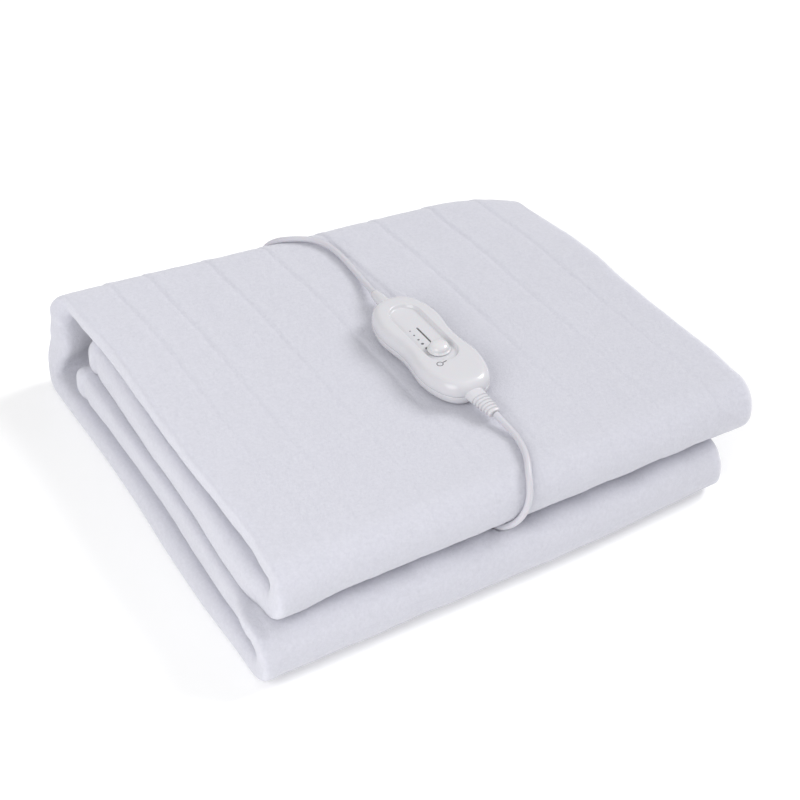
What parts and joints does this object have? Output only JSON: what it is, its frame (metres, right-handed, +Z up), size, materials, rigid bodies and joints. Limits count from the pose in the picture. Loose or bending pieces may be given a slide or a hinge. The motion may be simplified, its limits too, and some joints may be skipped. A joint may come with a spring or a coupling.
{
  "type": "folded electric heated blanket",
  "caption": "Fleece under-blanket folded into a thick square pack, with a waisted slide controller and its leads lying on top.",
  "frame": {"origin": "on the surface the pack lies on, under the middle of the pack and its controller", "axes": "+X along the pack's front edge, to the end with the two free edges; +Y from the front loops to the back fold; +Z up"},
  "size_m": [0.4188, 0.4526, 0.1139],
  "materials": {
    "fleece": "soft white fleece, brushed, faintly lavender in shade",
    "controller_plastic": "smooth white moulded plastic",
    "cord_plastic": "white satin cable sheath",
    "pin_metal": "bright nickel plate"
  },
  "bodies": {
    "pack": {"blanket": "fleece", "controller_base": "controller_plastic", "controller_top": "controller_plastic", "relief_near": "controller_plastic", "relief_far": "controller_plastic", "blanket_lead": "cord_plastic", "lead_inlet": "controller_plastic", "mains_lead": "cord_plastic", "cord_coil": "cord_plastic", "coil_tie": "cord_plastic", "plug_lead": "cord_plastic", "plug_body": "controller_plastic", "plug_pin_left": "pin_metal", "plug_pin_right": "pin_metal", "plug_relief": "controller_plastic"},
    "slider": {"slider_knob": "controller_plastic"}
  },
  "joints": [
    {"name": "heat_slider", "type": "slide", "parent": "pack", "child": "slider", "axis": [0, 1, 0], "range_m": [0, 0.028]}
  ]
}
